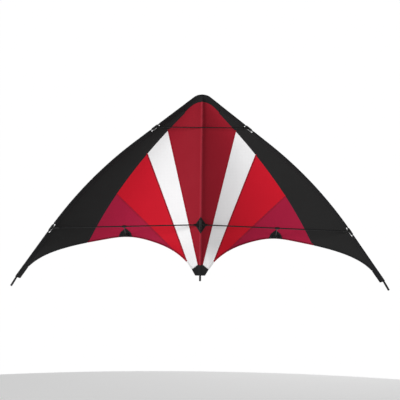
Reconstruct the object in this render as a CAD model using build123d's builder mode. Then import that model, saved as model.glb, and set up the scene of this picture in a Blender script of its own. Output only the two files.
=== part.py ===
from build123d import *
import os
from math import cos, pi, radians, sin, sqrt, tan

# Two-line delta sport kite, standing nose up. +Z is up the spine, +X is to the right as its pilot
# sees it, and the sail billows towards +Y. The spine's axis is X = Y = 0, and Z = 0 is at the
# centre cross. Right-hand pieces are modelled and mirrored. Millimetres.

# Rods and the fits around them
ROD_R = 2.0  # spine, leading edges and lower spreaders
UPPER_SPREADER_R = 1.5
STANDOFF_R = 1.25
SNUG = 0.05  # a fitting that stays put on its rod
RUNNING = 0.06  # a fitting that turns on its rod
BENT_ROD_RUNNING = 0.09  # the same on a rod that bends a little inside the fitting

# Outline of the sail, from the pilot's side
NOSE_TOP = 449.5
FLANK_X, FLANK_Z = 29.0, 440.0  # where the straight upper leading edge starts
UPPER_SWEEP, LOWER_SWEEP = 37.6, 54.8  # the leading edge's slopes below horizontal
LE_BEND_R = 1380.0
TIP_X, TIP_Z = 636.5, -184.0  # outer corner of the tip pocket
TIP_POCKET_LENGTH, TIP_POCKET_WIDTH, TIP_POCKET_SLANT = 55.0, 18.5, 5.5
TIP_BEND_DEPTH = 30.0  # inside the pocket the rod bends away from the leading edge a little
TIP_ROD_SWEEP, TIP_ROD_LENGTH = 58.9, 62.0
TIP_BEND_R = 150.0
TIP_CAP_R, TIP_CAP_LENGTH, TIP_CAP_OVERHANG = 3.6, 30.0, 2.0
TRAILING_EDGE = [(618.5, -189.5), (590, -149), (469, -85), (336, -55.5), (262, -45.5), (161, -62.5),
                 (101, -86.5), (46.5, -128)]
TAIL_SHOULDER = (28.5, -154.0)
TAIL_NECK = (7.0, -136.0)
TAIL_BOTTOM = (17.5, -173.5)
BLACK_BORDER = [(-20, 421), (20, 420.5), (57.5, 391), (154, 288), (296, 105), (394, -65.5)]
WHITE_INNER_TOP, WHITE_INNER_BOTTOM = (116.5, 328), (6.5, -137)
WHITE_OUTER_TOP, WHITE_OUTER_BOTTOM = (188.5, 244), (46.5, -128)
CRIMSON_UPPER, CRIMSON_LOWER = (293, 102), (118, -66.5)
NOSE_HALF_END = 60.0

# The billow: each wing's sheet bulges backwards, most of all at the stand-off
CLOTH = 0.6
BILLOW = 100.0
BILLOW_FULL_Z = -45.0
TAIL_GATHER_TOP, TAIL_GATHER_BOTTOM, TAIL_GATHER_LEAST = -40.0, -165.0, 0.1

# Leading edge sleeve and its notches
SLEEVE_R = 3.2
SLEEVE_BORE = ROD_R + 0.3
SHEET_GAP = 0.3
NOTCH_LENGTH, NOTCH_DEPTH = 35.0, 9.5
CONNECTOR_LENGTH, CONNECTOR_R = 22.0, 4.4
STOP_RING_R, STOP_RING_LENGTH = 3.6, 2.5

# Spine, its sleeve and the pieces at its ends
SPINE_TOP, SPINE_BOTTOM = 442.0, -190.5
SPINE_SLEEVE_R, SPINE_SLEEVE_BORE = 4.2, 2.3
SPINE_SIDE = 4.8  # where the wing's cloth starts
SLEEVE_GAP_TOP, SLEEVE_GAP_BOTTOM = 19.0, -16.0
TAIL_CAP_R, TAIL_CAP_TOP, TAIL_CAP_BOTTOM = 3.6, -177.0, -192.5
POCKET_HALF_THICKNESS = 3.2
NOSE_HALF_THICKNESS = 3.8

# Centre cross: a hub on the spine, and an arm for each lower spreader that turns on the hub
HUB_BOTTOM, HUB_TOP = -15.0, 18.0
HUB_BARREL_R, HUB_FLANGE_R = 3.5, 6.2
ARM_RINGS_BOTTOM, ARM_RINGS_MIDDLE, ARM_RINGS_TOP = -6.9, 1.7, 9.9
ARM_GAP = 0.1
ARM_SOCKET_R, ARM_SOCKET_START, ARM_SOCKET_END = 3.9, 7.0, 23.0
EYE_R, EYE_Y, EYE_Z = 1.5, -9.0, -11.0
HUB_HOLE_X = 8.0

# Spreaders and stand-offs
SPREADER_Y, SPREADER_Z = -3.0, 1.5
SPREADER_DROOP = 1.9
SPREADER_START, SPREADER_END = 10.5, 507.0
UPPER_SPREADER_Y, UPPER_SPREADER_Z = -6.0, 335.5
STANDOFF_X, STANDOFF_Z = 263.0, -37.0
STANDOFF_TIP_GAP = 0.9  # the slanted cap's end, in front of its socket's plate
SOCKET_PLATE, SOCKET_LIP = 1.8, 2.2
SOCKET_WIDTH, SOCKET_HEIGHT = 14.0, 13.0
SOCKET_GAP = 0.9
STANDOFF_ROD_START = 5.0
STANDOFF_CAP_DEPTH = 8.0
CLIP_LENGTH, CLIP_R, CLIP_ARM_R, CLIP_ARM_END = 10.0, 4.0, 2.7, 15.0
SPREADER_RING_R, SPREADER_RING_LENGTH = 3.4, 3.0
LOWER_ARM_START, LOWER_ARM_R = 487.0, 3.8
UPPER_HALF, UPPER_CAP_R, UPPER_CAP_LENGTH = 151.5, 2.3, 8.0
CRADLE_R, CRADLE_START, CRADLE_WALL, CRADLE_GAP = 4.0, 140.0, 3.0, 0.25

# Patches: half of the five-sided one at the stand-off, from its top, and the diamond on the spine
STANDOFF_PATCH = [(0, -15.5), (17, -29), (24, -45), (24, -60)]
DIAMOND_HALF_WIDTH, DIAMOND_HALF_HEIGHT = 20.0, 29.0

os.makedirs("parts", exist_ok=True)


def save(name, part):
    part.label = name
    export_step(part, f"parts/{name}.step")


def save_pair(name, right):
    """The right-hand piece, and its mirror image on the left."""
    save(f"{name}_right", right.part)
    with BuildPart() as left:
        mirror(right.part, about=Plane.YZ)
    save(f"{name}_left", left.part)


# The leading edge's outer line: two straight stretches joined by one long arc
def slope(angle):
    return Vector(cos(radians(angle)), -sin(radians(angle)))


def crossing(p, a, q, b):
    """Where the line through p at slope a meets the line through q at slope b."""
    d, e, gap = slope(a), slope(b), Vector(*q) - Vector(*p)
    along_first = (gap.X * e.Y - gap.Y * e.X) / (d.X * e.Y - d.Y * e.X)
    return Vector(*p) + d * along_first


def inset_point(point, first, second, inset):
    """The corner of two lines of these slopes, moved in from both of them."""
    middle = radians((first + second) / 2)
    reach = inset / cos(radians((second - first) / 2))
    return point - Vector(sin(middle), cos(middle)) * reach


LE_CORNER = crossing((FLANK_X, FLANK_Z), UPPER_SWEEP, (TIP_X, TIP_Z), LOWER_SWEEP)
LE_TANGENT = LE_BEND_R * tan(radians((LOWER_SWEEP - UPPER_SWEEP) / 2))
LE_ARC_START = LE_CORNER - slope(UPPER_SWEEP) * LE_TANGENT
LE_ARC_END = LE_CORNER + slope(LOWER_SWEEP) * LE_TANGENT
LE_CENTRE = LE_ARC_START - Vector(sin(radians(UPPER_SWEEP)), cos(radians(UPPER_SWEEP))) * LE_BEND_R


def leading_edge_x(z):
    if z >= LE_ARC_START.Y:
        return FLANK_X + (FLANK_Z - z) / tan(radians(UPPER_SWEEP))
    if z <= LE_ARC_END.Y:
        return TIP_X + (TIP_Z - z) / tan(radians(LOWER_SWEEP))
    return LE_CENTRE.X + sqrt(LE_BEND_R**2 - (z - LE_CENTRE.Y) ** 2)


# The rod's axis runs inside that line, and bends down a little inside the tip pocket
AXIS_INSET = SLEEVE_R
ROD_START = inset_point(Vector(FLANK_X, FLANK_Z), UPPER_SWEEP, UPPER_SWEEP, AXIS_INSET)
ROD_START -= slope(UPPER_SWEEP) * 10
ROD_CORNER = inset_point(LE_CORNER, UPPER_SWEEP, LOWER_SWEEP, AXIS_INSET)
ROD_TIP_BEND = inset_point(Vector(TIP_X, TIP_Z), LOWER_SWEEP, LOWER_SWEEP, AXIS_INSET)
ROD_TIP_BEND -= slope(LOWER_SWEEP) * TIP_BEND_DEPTH
ROD_END = ROD_TIP_BEND + slope(TIP_ROD_SWEEP) * TIP_ROD_LENGTH

with BuildLine(Plane.XZ) as rod_path:
    FilletPolyline(
        *[(p.X, p.Y) for p in (ROD_START, ROD_CORNER, ROD_TIP_BEND, ROD_END)],
        radius=[LE_BEND_R - AXIS_INSET, TIP_BEND_R],
    )


def axis_at(z, sweep):
    """The rod's axis at this height, on the straight stretch of this slope, and its direction."""
    start = ROD_START if sweep == UPPER_SWEEP else ROD_TIP_BEND
    d = slope(sweep)
    p = start + d * ((z - start.Y) / d.Y)
    return Vector(p.X, 0, p.Y), Vector(d.X, 0, d.Y)


def across(centre, direction):
    """A plane square to a direction that lies in XZ, with its local x along +Y."""
    return Plane(origin=centre, x_dir=(0, 1, 0), z_dir=direction)


UPPER_NOTCH = axis_at(UPPER_SPREADER_Z - 1.5, UPPER_SWEEP)
SPREADER_DIRECTION = Vector(cos(radians(SPREADER_DROOP)), 0, -sin(radians(SPREADER_DROOP)))


def spreader_point(x):
    return Vector(x, SPREADER_Y, SPREADER_Z - x * tan(radians(SPREADER_DROOP)))


LOWER_NOTCH = axis_at(spreader_point(513).Z, LOWER_SWEEP)


# The sail's surface: a bulge across the wing that grows down the wing and is gathered at the tail
def billow(share, z):
    down = (NOSE_TOP - z) / (NOSE_TOP - BILLOW_FULL_Z)
    fall = min(1, max(0, (TAIL_GATHER_TOP - z) / (TAIL_GATHER_TOP - TAIL_GATHER_BOTTOM)))
    gather = 1 - (1 - TAIL_GATHER_LEAST) * fall * fall * (3 - 2 * fall)
    return BILLOW * down * gather * sin(pi * share)


def sail_y(x, z):
    return billow(x / leading_edge_x(z), z)


SOCKET_BACK = sail_y(STANDOFF_X, STANDOFF_Z + SOCKET_HEIGHT / 2) - CLOTH - 3 * SHEET_GAP
STANDOFF_TIP = (STANDOFF_X, SOCKET_BACK - SOCKET_PLATE - STANDOFF_TIP_GAP, STANDOFF_Z)


def sheet(front):
    """A sheet of cloth over the whole wing, this far in front of the sail's own front face."""
    across_wing = [-0.04 + 0.09 * i for i in range(13)]
    down_wing = [449 - 36 * i for i in range(19)]
    rows = [[(s * leading_edge_x(z), billow(s, z) - front, z) for s in across_wing] for z in down_wing]
    return Solid.extrude(Face.make_surface_from_array_of_points(rows), Vector(0, CLOTH, 0))


def prism(*points, depth=200):
    """A block that stands on an outline in XZ."""
    with BuildPart() as block:
        with BuildSketch(Plane.XZ):
            with BuildLine():
                Polyline(*points, close=True)
            make_face()
        extrude(amount=depth, both=True)
    return block.part


def notch_block(notch, length, depth):
    """The space that a notch takes out of the sleeve and the panel beside it."""
    centre, direction = notch
    with BuildPart() as block:
        with BuildSketch(across(centre, direction)):
            with Locations((0, AXIS_INSET - depth / 2)):
                Rectangle(60, depth)
        extrude(amount=length / 2, both=True)
    return block.part


# Zones that cut the wing's sheet into panels
tip_direction = slope(LOWER_SWEEP)
tip_inward = Vector(-sin(radians(LOWER_SWEEP)), -cos(radians(LOWER_SWEEP)))
tip_outer = Vector(TIP_X, TIP_Z)
tip_outline = [tip_outer - tip_direction * TIP_POCKET_LENGTH, tip_outer,
               tip_outer + tip_inward * TIP_POCKET_WIDTH - tip_direction * TIP_POCKET_SLANT,
               tip_outer + tip_inward * TIP_POCKET_WIDTH - tip_direction * TIP_POCKET_LENGTH]
tip_zone_outline = [tip_outline[0], tip_outer + tip_direction * TIP_POCKET_SLANT,
                    tip_outer + tip_inward * TIP_POCKET_WIDTH, tip_outline[3]]
tip_zone = prism(*[(p.X, p.Y) for p in tip_zone_outline], depth=60)

tail_zone = prism(TAIL_NECK, (0, TAIL_NECK[1]), (0, TAIL_BOTTOM[1]), TAIL_BOTTOM, TAIL_SHOULDER)
hub_zone = prism((0, SLEEVE_GAP_TOP), (HUB_HOLE_X, SLEEVE_GAP_TOP), (HUB_HOLE_X, SLEEVE_GAP_BOTTOM),
                 (0, SLEEVE_GAP_BOTTOM))

with BuildPart() as black_zone:
    with BuildSketch(Plane.XZ):
        with BuildLine():
            border = Spline(*BLACK_BORDER)
            Polyline(border @ 1, (394, -300), (760, -300), (760, 520), (-10, 520), border @ 0)
        make_face()
    extrude(amount=200, both=True)

white_inner_line = (Vector(*WHITE_INNER_TOP) - Vector(*WHITE_INNER_BOTTOM)).normalized()
white_outer_line = (Vector(*WHITE_OUTER_TOP) - Vector(*WHITE_OUTER_BOTTOM)).normalized()
inner_top = Vector(*WHITE_INNER_TOP) + white_inner_line * 80
inner_bottom = Vector(*WHITE_INNER_BOTTOM) - white_inner_line * 60
outer_top = Vector(*WHITE_OUTER_TOP) + white_outer_line * 80
outer_bottom = Vector(*WHITE_OUTER_BOTTOM) - white_outer_line * 60
centre_zone = prism((-20, 480), (inner_top.X, 480), (inner_top.X, inner_top.Y),
                    (inner_bottom.X, inner_bottom.Y), (-20, inner_bottom.Y))
white_zone = prism((inner_top.X, inner_top.Y), (outer_top.X, outer_top.Y),
                   (outer_bottom.X, outer_bottom.Y), (inner_bottom.X, inner_bottom.Y))
crimson_line = (Vector(*CRIMSON_UPPER) - Vector(*CRIMSON_LOWER)).normalized()
crimson_top = Vector(*CRIMSON_UPPER) + crimson_line * 150
crimson_bottom = Vector(*CRIMSON_LOWER) - crimson_line * 60
crimson_zone = prism((crimson_top.X, crimson_top.Y), (600, crimson_top.Y), (600, -300),
                     (crimson_bottom.X, -300), (crimson_bottom.X, crimson_bottom.Y))

# The wing's outline, from the spine's side round the nose, the leading edge and the trailing edge
edge_inset = AXIS_INSET + SLEEVE_R + SHEET_GAP
edge_start = inset_point(Vector(FLANK_X, FLANK_Z), UPPER_SWEEP, UPPER_SWEEP, edge_inset)
edge_corner = inset_point(LE_CORNER, UPPER_SWEEP, LOWER_SWEEP, edge_inset)
edge_end = inset_point(tip_outer, LOWER_SWEEP, LOWER_SWEEP, edge_inset)
with BuildPart() as wing_block:
    with BuildSketch(Plane.XZ):
        with BuildLine():
            edge = FilletPolyline(
                (SPINE_SIDE, edge_start.Y + (edge_start.X - SPINE_SIDE) * tan(radians(UPPER_SWEEP))),
                (edge_corner.X, edge_corner.Y), (edge_end.X, edge_end.Y),
                radius=LE_BEND_R - edge_inset)
            trail = Spline(*TRAILING_EDGE)
            Line(edge @ 1, trail @ 0)
            Polyline(trail @ 1, TAIL_SHOULDER, TAIL_NECK, (SPINE_SIDE, TAIL_NECK[1]), edge @ 0)
        make_face()
    extrude(amount=200, both=True)
    for block in (tail_zone, hub_zone, tip_zone):
        add(block, mode=Mode.SUBTRACT)
    for notch in (UPPER_NOTCH, LOWER_NOTCH):
        add(notch_block(notch, NOTCH_LENGTH, NOTCH_DEPTH), mode=Mode.SUBTRACT)

sail_sheet = sheet(0)
patch_sheet = sheet(CLOTH + SHEET_GAP)
nose_zone = prism((-10, 520), (NOSE_HALF_END, 520), (NOSE_HALF_END, 300), (-10, 300))


def panel(keep, drop):
    """The piece of the wing's sheet inside every zone of keep and outside every zone of drop."""
    with BuildPart() as piece:
        add(sail_sheet)
        for zone in [wing_block.part, *keep]:
            add(zone, mode=Mode.INTERSECT)
        for zone in drop:
            add(zone, mode=Mode.SUBTRACT)
    return piece


save_pair("centre_panel", panel([centre_zone], [black_zone.part]))
save_pair("white_panel", panel([white_zone], [black_zone.part]))
save_pair("bright_red_panel", panel([], [centre_zone, white_zone, black_zone.part, crimson_zone]))
save_pair("crimson_panel", panel([crimson_zone], [centre_zone, white_zone, black_zone.part]))
save_pair("leading_edge_panel", panel([black_zone.part], [nose_zone]))

# Patches in front of the sail
with BuildPart() as centre_patch:
    add(patch_sheet)
    add(prism((HUB_HOLE_X + 0.3, -30), (HUB_HOLE_X + 0.3, 30), (60, 30), (60, -30)), mode=Mode.INTERSECT)
    add(prism((0, DIAMOND_HALF_HEIGHT), (DIAMOND_HALF_WIDTH, 0), (0, -DIAMOND_HALF_HEIGHT),
              (-DIAMOND_HALF_WIDTH, 0)), mode=Mode.INTERSECT)
save_pair("centre_patch", centre_patch)

with BuildPart() as standoff_patch:
    add(patch_sheet)
    add(prism(*[(STANDOFF_X + x, z) for x, z in STANDOFF_PATCH],
              *[(STANDOFF_X - x, z) for x, z in reversed(STANDOFF_PATCH[1:])]), mode=Mode.INTERSECT)
    add(wing_block.part, mode=Mode.INTERSECT)
save_pair("standoff_patch", standoff_patch)


# Leading edge rod, its sleeve in three lengths, nose half, tip pocket and tip cap
def tube_along_rod(outer, bore=0):
    with BuildPart() as tube:
        with BuildSketch(across(rod_path.line @ 0, rod_path.line % 0)):
            Circle(outer)
            if bore:
                Circle(bore, mode=Mode.SUBTRACT)
        sweep(path=rod_path.line)
    return tube


leading_edge_rod = tube_along_rod(ROD_R)
save_pair("leading_edge_rod", leading_edge_rod)

rod_channel = tube_along_rod(ROD_R + SNUG).part

with BuildPart() as nose_half:
    with BuildSketch(Plane.XZ):
        with BuildLine():
            flank_drop = (NOSE_HALF_END - FLANK_X) * tan(radians(UPPER_SWEEP))
            flank = Line((FLANK_X, FLANK_Z), (NOSE_HALF_END, FLANK_Z - flank_drop))
            top = TangentArc(flank @ 0, (SPINE_SIDE, NOSE_TOP - 0.5), tangent=-(flank % 0))
            Polyline(top @ 1, (SPINE_SIDE, 300), (NOSE_HALF_END, 300), flank @ 1)
        make_face()
    extrude(amount=NOSE_HALF_THICKNESS, both=True)
    add(black_zone.part, mode=Mode.INTERSECT)
    add(rod_channel, mode=Mode.SUBTRACT)
save_pair("nose_half", nose_half)

sleeve = tube_along_rod(SLEEVE_R, SLEEVE_BORE)
with BuildPart() as sleeve_lengths:
    add(sleeve.part)
    add(prism((NOSE_HALF_END + 0.3, 520), (760, 520), (760, -300), (NOSE_HALF_END + 0.3, -300)),
        mode=Mode.INTERSECT)
    for notch in (UPPER_NOTCH, LOWER_NOTCH):
        add(notch_block(notch, NOTCH_LENGTH, 2 * NOTCH_DEPTH), mode=Mode.SUBTRACT)
    tip_cut = tip_outer - tip_direction * TIP_POCKET_LENGTH
    with BuildSketch(across((tip_cut.X, 0, tip_cut.Y), (tip_direction.X, 0, tip_direction.Y))):
        Rectangle(100, 100)
    extrude(amount=120, mode=Mode.SUBTRACT)
lower, middle, upper = sleeve_lengths.solids().sort_by(Axis.Z)
for name, length in (("lower", lower), ("middle", middle), ("upper", upper)):
    with BuildPart() as sleeve_length:
        add(length)
    save_pair(f"leading_edge_sleeve_{name}", sleeve_length)

with BuildPart() as tip_pocket:
    add(prism(*[(p.X, p.Y) for p in tip_outline], depth=POCKET_HALF_THICKNESS))
    fillet(tip_pocket.edges().filter_by(Axis.Y), 2)
    add(rod_channel, mode=Mode.SUBTRACT)
save_pair("wing_tip_pocket", tip_pocket)

with BuildPart() as tip_cap:
    end = Vector(ROD_END.X, 0, ROD_END.Y)
    end_direction = Vector(slope(TIP_ROD_SWEEP).X, 0, slope(TIP_ROD_SWEEP).Y)
    with BuildSketch(across(end + end_direction * TIP_CAP_OVERHANG, end_direction)):
        Circle(TIP_CAP_R)
    extrude(amount=-TIP_CAP_LENGTH)
    fillet(tip_cap.edges().sort_by(Axis.Z)[0], 1.2)
    add(rod_channel, mode=Mode.SUBTRACT)
save_pair("wing_tip_cap", tip_cap)


def ring_on_axis(plane, outer, bore, length):
    with BuildSketch(plane) as ring:
        Circle(outer)
        Circle(bore, mode=Mode.SUBTRACT)
    extrude(ring.sketch, amount=length / 2, both=True)


with BuildPart() as stop_rings:
    for centre, direction in (UPPER_NOTCH, LOWER_NOTCH):
        for way in (-1, 1):
            offset = way * (CONNECTOR_LENGTH / 2 + STOP_RING_LENGTH / 2 + SHEET_GAP)
            ring_on_axis(across(centre + direction * offset, direction), STOP_RING_R,
                         ROD_R + BENT_ROD_RUNNING, STOP_RING_LENGTH)
save_pair("connector_stop_rings", stop_rings)


# Spine, its sleeve, caps and the tail pocket
def upright(bottom, top, outer, bore=0):
    with BuildSketch(Plane.XY.offset(bottom)) as round_section:
        Circle(outer)
        if bore:
            Circle(bore, mode=Mode.SUBTRACT)
    extrude(round_section.sketch, amount=top - bottom)


with BuildPart() as spine_rod:
    upright(SPINE_BOTTOM, SPINE_TOP, ROD_R)
save("spine_rod", spine_rod.part)

with BuildPart() as spine_sleeve_upper:
    upright(SLEEVE_GAP_TOP, SPINE_TOP - 1, SPINE_SLEEVE_R, SPINE_SLEEVE_BORE)
save("spine_sleeve_upper", spine_sleeve_upper.part)

with BuildPart() as spine_sleeve_lower:
    upright(TAIL_NECK[1] + SHEET_GAP, SLEEVE_GAP_BOTTOM, SPINE_SLEEVE_R, SPINE_SLEEVE_BORE)
save("spine_sleeve_lower", spine_sleeve_lower.part)

with BuildPart() as nose_cap:
    upright(SPINE_TOP - 0.8, SPINE_TOP + 0.2, SPINE_SLEEVE_R, ROD_R + SNUG)
    upright(SPINE_TOP + 0.2, NOSE_TOP - 1.5, SPINE_SLEEVE_R)
    fillet(nose_cap.edges().sort_by(Axis.Z)[-1], 1.5)
save("spine_nose_cap", nose_cap.part)

with BuildPart() as tail_pocket:
    outline = [TAIL_NECK, TAIL_SHOULDER, TAIL_BOTTOM]
    with BuildSketch(Plane.XZ):
        with BuildLine():
            Polyline(*[(x - 0.6, z) for x, z in outline], *[(0.6 - x, z) for x, z in reversed(outline)],
                     close=True)
        make_face()
    extrude(amount=POCKET_HALF_THICKNESS, both=True)
    fillet(tail_pocket.edges().filter_by(Axis.Y), 1.5)
    with Locations((0, 0, TAIL_SHOULDER[1])):
        Cylinder(ROD_R + SNUG, 60, mode=Mode.SUBTRACT)
save("tail_pocket", tail_pocket.part)

with BuildPart() as tail_cap:
    upright(TAIL_CAP_BOTTOM, TAIL_CAP_TOP, TAIL_CAP_R)
    fillet(tail_cap.edges().sort_by(Axis.Z)[0], 1)
    upright_hole = TAIL_CAP_TOP - SPINE_BOTTOM + 0.2
    with Locations((0, 0, TAIL_CAP_TOP - upright_hole / 2)):
        Cylinder(ROD_R + SNUG, upright_hole, mode=Mode.SUBTRACT)
save("spine_tail_cap", tail_cap.part)

# Centre cross hub, with the moulded eye that the bridle's centre leg is tied to
with BuildPart() as hub:
    upright(HUB_BOTTOM, HUB_TOP, HUB_BARREL_R)
    upright(HUB_BOTTOM, ARM_RINGS_BOTTOM - ARM_GAP, HUB_FLANGE_R)
    upright(ARM_RINGS_TOP + ARM_GAP, HUB_TOP, HUB_FLANGE_R)
    eye_height = ARM_RINGS_BOTTOM - ARM_GAP - HUB_BOTTOM
    with BuildSketch(Plane.YZ):
        with Locations((EYE_Y, HUB_BOTTOM + eye_height / 2)):
            Circle(eye_height / 2)
        with Locations((EYE_Y / 2, HUB_BOTTOM + eye_height / 2)):
            Rectangle(-EYE_Y, eye_height)
    extrude(amount=2.5, both=True)
    with BuildSketch(Plane.YZ):
        with Locations((EYE_Y, EYE_Z)):
            Circle(EYE_R)
    extrude(amount=10, both=True, mode=Mode.SUBTRACT)
    Cylinder(ROD_R + SNUG, 60, mode=Mode.SUBTRACT)
save("centre_cross_hub", hub.part)


def cross_arm(name, side, ring_bottom, ring_top):
    """An open-fronted arm on a ring that turns on the hub's barrel; side is 1 right, -1 left."""
    direction = Vector(side * SPREADER_DIRECTION.X, 0, SPREADER_DIRECTION.Z)

    def on_axis(x):
        p = spreader_point(x)
        return across((side * p.X, p.Y, p.Z), direction)

    web_bottom = max(ring_bottom, SPREADER_Z - ARM_SOCKET_R + 0.5)
    web_top = min(ring_top, SPREADER_Z + ARM_SOCKET_R - 0.8)
    with BuildPart() as arm:
        with BuildSketch(on_axis(ARM_SOCKET_START)):
            Circle(ARM_SOCKET_R)
        extrude(amount=ARM_SOCKET_END - ARM_SOCKET_START)
        with BuildSketch(Plane.XY.offset(web_bottom)):
            with Locations((side * 6.5, SPREADER_Y)):
                Rectangle(7, 5)
        extrude(amount=web_top - web_bottom)
        upright(ring_bottom, ring_top, HUB_FLANGE_R)
        with BuildSketch(on_axis(SPREADER_START - 0.3)):
            Circle(ROD_R + RUNNING)
            with Locations((-5, 0)):
                Rectangle(10, 2 * (ROD_R + RUNNING))
        extrude(amount=40, mode=Mode.SUBTRACT)
        Cylinder(HUB_BARREL_R + RUNNING, 60, mode=Mode.SUBTRACT)
    save(name, arm.part)


cross_arm("centre_cross_arm_right", 1, ARM_RINGS_MIDDLE + ARM_GAP / 2, ARM_RINGS_TOP)
cross_arm("centre_cross_arm_left", -1, ARM_RINGS_BOTTOM, ARM_RINGS_MIDDLE - ARM_GAP / 2)

# Lower spreader, its leading edge connector and the rings that keep the stand-off's clip in place
with BuildPart() as lower_spreader:
    with BuildSketch(across(spreader_point(SPREADER_START), SPREADER_DIRECTION)):
        Circle(ROD_R)
    extrude(amount=(SPREADER_END - SPREADER_START) / SPREADER_DIRECTION.X)
save_pair("lower_spreader", lower_spreader)

with BuildPart() as lower_connector:
    ring_on_axis(across(*LOWER_NOTCH), CONNECTOR_R, ROD_R, CONNECTOR_LENGTH)
    with BuildSketch(across(spreader_point(LOWER_ARM_START), SPREADER_DIRECTION)):
        Circle(LOWER_ARM_R)
    extrude(amount=(LOWER_NOTCH[0].X - LOWER_ARM_START) / SPREADER_DIRECTION.X)
    with BuildSketch(across(spreader_point(LOWER_ARM_START - 1), SPREADER_DIRECTION)):
        Circle(ROD_R + SNUG)
    extrude(amount=(SPREADER_END + 1.3 - LOWER_ARM_START) / SPREADER_DIRECTION.X, mode=Mode.SUBTRACT)
    with BuildSketch(across(*LOWER_NOTCH)):
        Circle(ROD_R + BENT_ROD_RUNNING)
    extrude(amount=40, both=True, mode=Mode.SUBTRACT)
save_pair("lower_connector", lower_connector)

with BuildPart() as clip_stop_rings:
    for way in (-1, 1):
        offset = way * (CLIP_LENGTH / 2 + SPREADER_RING_LENGTH / 2 + 0.2)
        ring_on_axis(across(spreader_point(STANDOFF_X + offset), SPREADER_DIRECTION), SPREADER_RING_R,
                     ROD_R + SNUG, SPREADER_RING_LENGTH)
save_pair("clip_stop_rings", clip_stop_rings)

# Stand-off: a clip that turns on the lower spreader, a rod, and a cap that rests in the socket
foot = spreader_point(STANDOFF_X)
standoff_line = Vector(*STANDOFF_TIP) - foot
standoff_direction = standoff_line.normalized()


def on_standoff(distance):
    return Plane(origin=foot + standoff_direction * distance, x_dir=(1, 0, 0), z_dir=standoff_direction)


with BuildPart() as standoff_rod:
    with BuildSketch(on_standoff(STANDOFF_ROD_START)):
        Circle(STANDOFF_R)
    extrude(amount=standoff_line.length - STANDOFF_ROD_START - 2)
save_pair("standoff_rod", standoff_rod)

with BuildPart() as standoff_clip:
    with BuildSketch(across(foot, SPREADER_DIRECTION)):
        Circle(CLIP_R)
    extrude(amount=CLIP_LENGTH / 2, both=True)
    with BuildSketch(on_standoff(0)):
        Circle(CLIP_ARM_R)
    extrude(amount=CLIP_ARM_END)
    with BuildSketch(on_standoff(STANDOFF_ROD_START - 0.3)):
        Circle(STANDOFF_R + SNUG)
    extrude(amount=CLIP_ARM_END, mode=Mode.SUBTRACT)
    with BuildSketch(across(foot, SPREADER_DIRECTION)):
        Circle(ROD_R + RUNNING)
    extrude(amount=CLIP_LENGTH, both=True, mode=Mode.SUBTRACT)
save_pair("standoff_clip", standoff_clip)

with BuildPart() as standoff_tip:
    with BuildSketch(on_standoff(standoff_line.length)):
        Circle(CLIP_ARM_R)
    extrude(amount=-STANDOFF_CAP_DEPTH)
    fillet(standoff_tip.edges().sort_by(Axis.Y)[-1], 1.2)
    with BuildSketch(on_standoff(standoff_line.length - 1.8)):
        Circle(STANDOFF_R + SNUG)
    extrude(amount=-STANDOFF_CAP_DEPTH, mode=Mode.SUBTRACT)
save_pair("standoff_tip", standoff_tip)

with BuildPart() as standoff_socket:
    with BuildSketch(Plane.XZ.offset(-SOCKET_BACK)):
        with Locations((STANDOFF_X, STANDOFF_Z)):
            RectangleRounded(SOCKET_WIDTH, SOCKET_HEIGHT, 2)
    extrude(amount=SOCKET_PLATE)
    with BuildSketch(Plane.XZ.offset(SOCKET_PLATE - SOCKET_BACK)):
        with Locations((STANDOFF_X, STANDOFF_Z)):
            RectangleRounded(SOCKET_WIDTH, SOCKET_HEIGHT, 2)
        with Locations((STANDOFF_X, STANDOFF_Z - 4)):
            Rectangle(2 * (CLIP_ARM_R + SOCKET_GAP), 16, mode=Mode.SUBTRACT)
    extrude(amount=SOCKET_LIP)
save_pair("standoff_socket", standoff_socket)

# Upper spreader in the open-fronted cradles of the upper connectors
upper_axis = Plane(origin=(0, UPPER_SPREADER_Y, UPPER_SPREADER_Z), x_dir=(0, 1, 0), z_dir=(1, 0, 0))
with BuildPart() as upper_spreader:
    with BuildSketch(upper_axis):
        Circle(UPPER_SPREADER_R)
    extrude(amount=UPPER_HALF, both=True)
save("upper_spreader", upper_spreader.part)

with BuildPart() as upper_caps:
    for way in (-1, 1):
        cap_end = way * (UPPER_HALF + 1)
        with BuildSketch(upper_axis.offset(cap_end)):
            Circle(UPPER_CAP_R)
        extrude(amount=-way * UPPER_CAP_LENGTH)
    with BuildSketch(upper_axis):
        Circle(UPPER_SPREADER_R + SNUG)
    extrude(amount=UPPER_HALF + 0.1, both=True, mode=Mode.SUBTRACT)
save("upper_spreader_caps", upper_caps.part)

with BuildPart() as upper_connector:
    ring_on_axis(across(*UPPER_NOTCH), CONNECTOR_R, ROD_R, CONNECTOR_LENGTH)
    cradle_end = UPPER_HALF + 1 + CRADLE_GAP + CRADLE_WALL
    with BuildSketch(upper_axis.offset(CRADLE_START)):
        Circle(CRADLE_R)
    extrude(amount=cradle_end - CRADLE_START)
    with BuildSketch(Plane.XZ.offset(CONNECTOR_R - 2)):
        with Locations((cradle_end - 1, UPPER_SPREADER_Z)):
            Rectangle(11, 7)
    extrude(amount=-UPPER_SPREADER_Y - CONNECTOR_R + 2)
    with BuildSketch(upper_axis.offset(CRADLE_START - 1)):
        Circle(UPPER_CAP_R + CRADLE_GAP)
        with Locations((-5, 0)):
            Rectangle(10, 2 * (UPPER_CAP_R + CRADLE_GAP))
    extrude(amount=UPPER_HALF + 2 + CRADLE_GAP - CRADLE_START, mode=Mode.SUBTRACT)
    with BuildSketch(across(*UPPER_NOTCH)):
        Circle(ROD_R + SNUG)
    extrude(amount=40, both=True, mode=Mode.SUBTRACT)
save_pair("upper_connector", upper_connector)

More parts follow.
